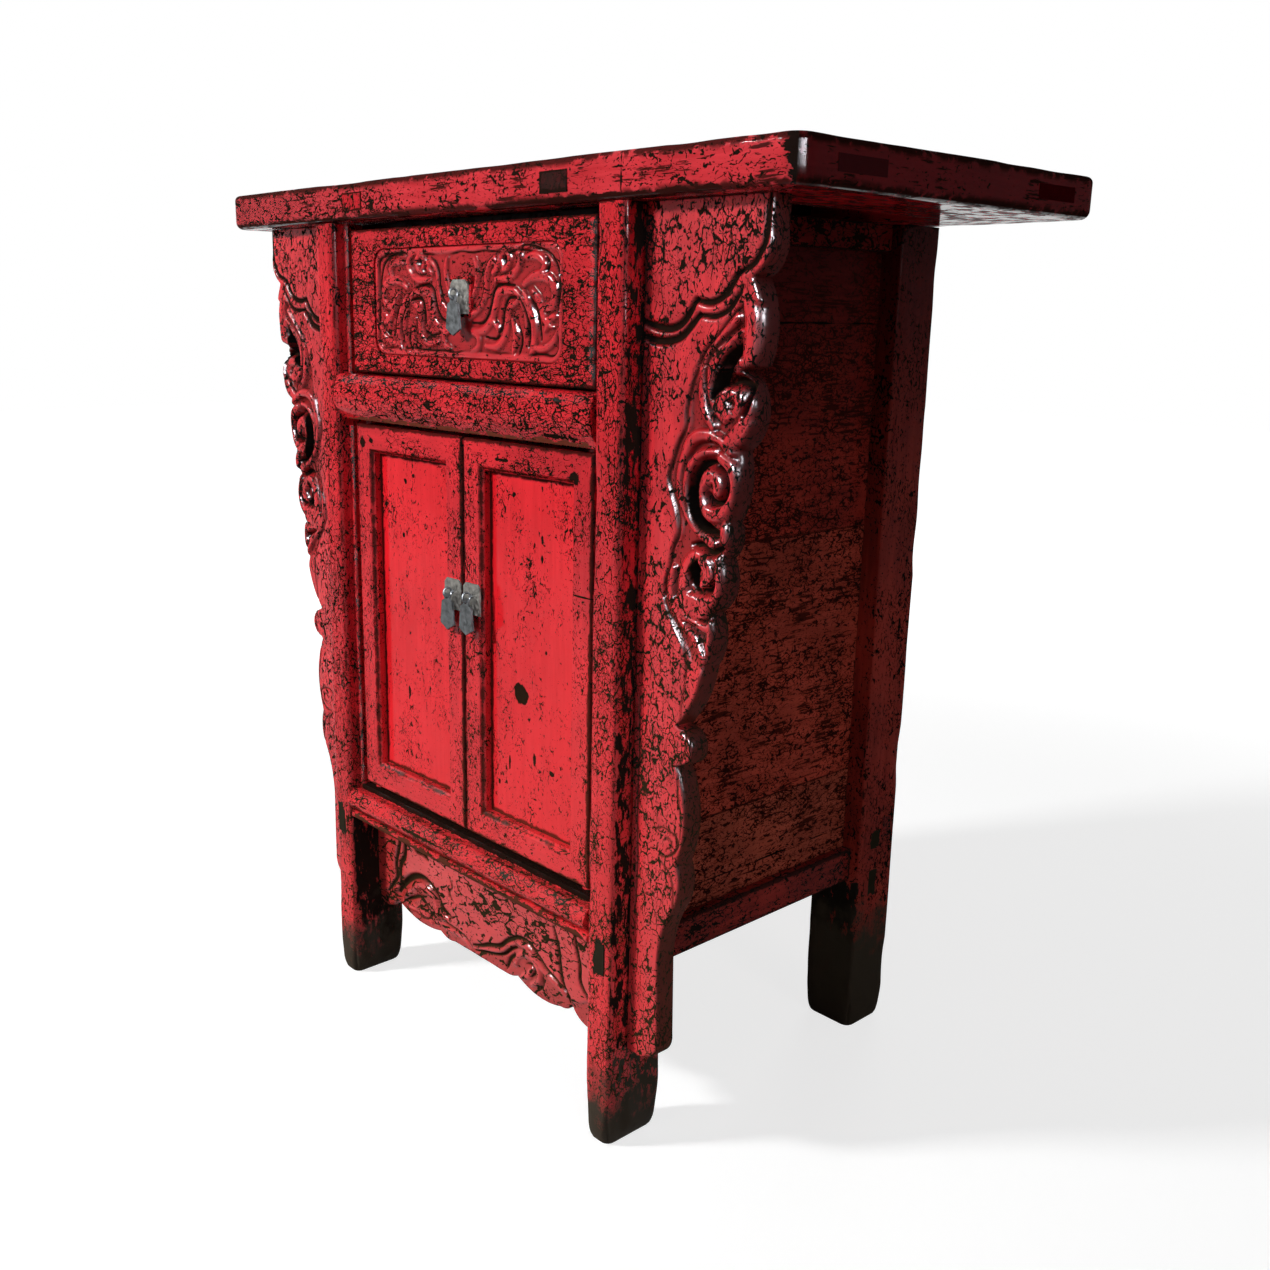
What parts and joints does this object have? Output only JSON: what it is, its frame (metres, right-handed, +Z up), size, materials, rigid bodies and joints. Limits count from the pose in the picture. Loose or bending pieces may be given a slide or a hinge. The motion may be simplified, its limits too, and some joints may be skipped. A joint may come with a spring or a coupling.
{
  "type": "sideboard",
  "caption": "Small red-lacquered side cabinet with one drawer over a pair of doors, a far-overhanging plank top and pierced, scalloped corner brackets.",
  "frame": {"origin": "on the floor, at the bottom centre of the whole cabinet's bounding box", "axes": "+Z up; the front with the drawer and doors faces -Y; +X runs to the right of a viewer who faces the front"},
  "size_m": [0.8, 0.402, 0.86],
  "materials": {
    "red_lacquer": "glossy red lacquer over wood, finely crackled, worn dark along edges",
    "maroon_lacquer": "dark maroon-brown lacquer, thin and worn, satin",
    "bare_wood": "unlacquered aged softwood, matt",
    "pewter_grey_metal": "dull grey metal, dark in the hollows and rubbed brighter at the edges"
  },
  "bodies": {
    "cabinet": {"top_front_rail": "red_lacquer", "top_back_rail": "red_lacquer", "top_end_rail_left": "red_lacquer", "top_end_rail_right": "red_lacquer", "top_panel": "red_lacquer", "top_batten_left": "bare_wood", "top_batten_right": "bare_wood", "front_post_left": "red_lacquer", "front_post_right": "red_lacquer", "back_leg_left": "maroon_lacquer", "back_leg_right": "maroon_lacquer", "mid_rail": "red_lacquer", "bottom_rail": "red_lacquer", "front_top_rail": "bare_wood", "apron": "red_lacquer", "bracket_left": "red_lacquer", "bracket_right": "red_lacquer", "side_bottom_rail_left": "maroon_lacquer", "side_bottom_rail_right": "maroon_lacquer", "side_top_rail_left": "maroon_lacquer", "side_top_rail_right": "maroon_lacquer", "side_board_lower_left": "maroon_lacquer", "side_board_middle_left": "maroon_lacquer", "side_board_upper_left": "maroon_lacquer", "side_board_lower_right": "maroon_lacquer", "side_board_middle_right": "maroon_lacquer", "side_board_upper_right": "maroon_lacquer", "back_top_rail": "bare_wood", "back_bottom_rail": "bare_wood", "back_board_upper": "bare_wood", "back_board_lower": "bare_wood", "cupboard_floor": "bare_wood", "drawer_runner_left": "bare_wood", "drawer_runner_right": "bare_wood"},
    "drawer": {"drawer_front": "red_lacquer", "drawer_side_left": "bare_wood", "drawer_side_right": "bare_wood", "drawer_back": "bare_wood", "drawer_bottom": "bare_wood", "drawer_pull_plate": "pewter_grey_metal", "drawer_pull_staple": "pewter_grey_metal"},
    "left_door": {"door_left_hinge_stile": "red_lacquer", "door_left_meeting_stile": "red_lacquer", "door_left_top_rail": "red_lacquer", "door_left_bottom_rail": "red_lacquer", "door_left_panel": "red_lacquer", "door_left_pull_plate": "pewter_grey_metal", "door_left_pull_staple": "pewter_grey_metal"},
    "right_door": {"door_right_hinge_stile": "red_lacquer", "door_right_meeting_stile": "red_lacquer", "door_right_top_rail": "red_lacquer", "door_right_bottom_rail": "red_lacquer", "door_right_panel": "red_lacquer", "door_right_pull_plate": "pewter_grey_metal", "door_right_pull_staple": "pewter_grey_metal"},
    "drawer_pendant": {"drawer_pull_pendant": "pewter_grey_metal"},
    "left_pendant": {"door_left_pull_pendant": "pewter_grey_metal"},
    "right_pendant": {"door_right_pull_pendant": "pewter_grey_metal"}
  },
  "joints": [
    {"name": "drawer_slide", "type": "slide", "parent": "cabinet", "child": "drawer", "axis": [0, -1, 0], "range_m": [0, 0.22]},
    {"name": "left_door_hinge", "type": "hinge", "parent": "cabinet", "child": "left_door", "pos_m": [-0.172, -0.172, 0.433], "axis": [0, 0, -1], "range_deg": [0, 90]},
    {"name": "right_door_hinge", "type": "hinge", "parent": "cabinet", "child": "right_door", "pos_m": [0.172, -0.172, 0.433], "axis": [0, 0, 1], "range_deg": [0, 90]},
    {"name": "drawer_pendant_swing", "type": "hinge", "parent": "drawer", "child": "drawer_pendant", "pos_m": [0, -0.1907, 0.756], "axis": [-1, 0, 0], "range_deg": [-8, 85]},
    {"name": "left_pendant_swing", "type": "hinge", "parent": "left_door", "child": "left_pendant", "pos_m": [-0.015, -0.1907, 0.4795], "axis": [-1, 0, 0], "range_deg": [-8, 85]},
    {"name": "right_pendant_swing", "type": "hinge", "parent": "right_door", "child": "right_pendant", "pos_m": [0.015, -0.1907, 0.4795], "axis": [-1, 0, 0], "range_deg": [-8, 85]}
  ]
}
